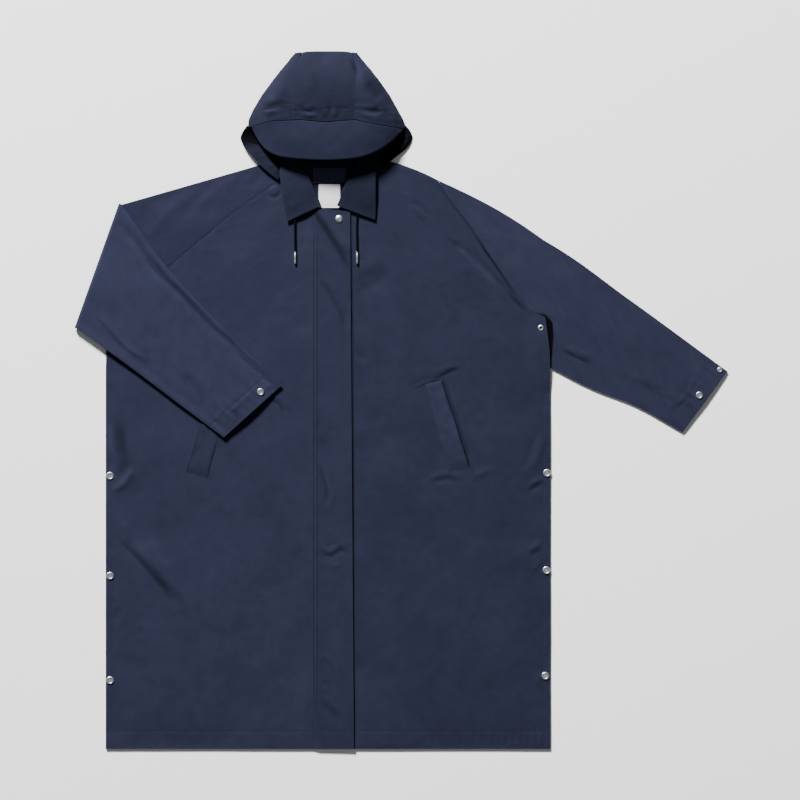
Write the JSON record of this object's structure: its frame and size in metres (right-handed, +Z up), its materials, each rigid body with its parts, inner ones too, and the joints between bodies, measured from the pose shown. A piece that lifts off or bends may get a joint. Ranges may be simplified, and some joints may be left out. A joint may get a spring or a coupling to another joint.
{
  "type": "hooded raincoat",
  "caption": "Long wide raincoat with raglan sleeves, a hood with drawstrings, a storm flap and slanted pockets, laid flat with one sleeve folded over its front.",
  "frame": {"origin": "the middle of the whole laid-out coat's box, on the flat underside it rests on", "axes": "+Z up from the surface it lies on, +Y from the hem to the hood, +X towards the wearer's left sleeve"},
  "size_m": [1.1747, 1.2554, 0.0424],
  "materials": {
    "navy_cloth": "matte, faint sheen",
    "white_label": "woven, blank",
    "brushed_metal": "satin",
    "black_cord": "braided"
  },
  "bodies": {
    "root": {"aglet_left": "brushed_metal", "aglet_right": "brushed_metal", "back_body": "navy_cloth", "collar_left": "navy_cloth", "collar_right": "navy_cloth", "drawcord_left": "black_cord", "drawcord_right": "black_cord", "eyelet_underarm": "brushed_metal", "front_left": "navy_cloth", "front_right": "navy_cloth", "hood_centre": "navy_cloth", "hood_left": "navy_cloth", "hood_right": "navy_cloth", "hood_rim_left": "navy_cloth", "hood_rim_right": "navy_cloth", "hood_visor": "navy_cloth", "neck_facing": "navy_cloth", "neck_label": "white_label", "placket": "navy_cloth", "sleeve_left_back": "navy_cloth", "sleeve_left_front": "navy_cloth", "sleeve_right_back": "navy_cloth", "sleeve_right_front": "navy_cloth", "snap_cuff_left_front": "brushed_metal", "snap_cuff_left_top": "brushed_metal", "snap_cuff_right": "brushed_metal", "snap_neck": "brushed_metal", "snap_side_left_1": "brushed_metal", "snap_side_left_2": "brushed_metal", "snap_side_left_3": "brushed_metal", "snap_side_right_1": "brushed_metal", "snap_side_right_2": "brushed_metal", "snap_side_right_3": "brushed_metal", "welt_left": "navy_cloth", "welt_right": "navy_cloth"}
  },
  "joints": []
}
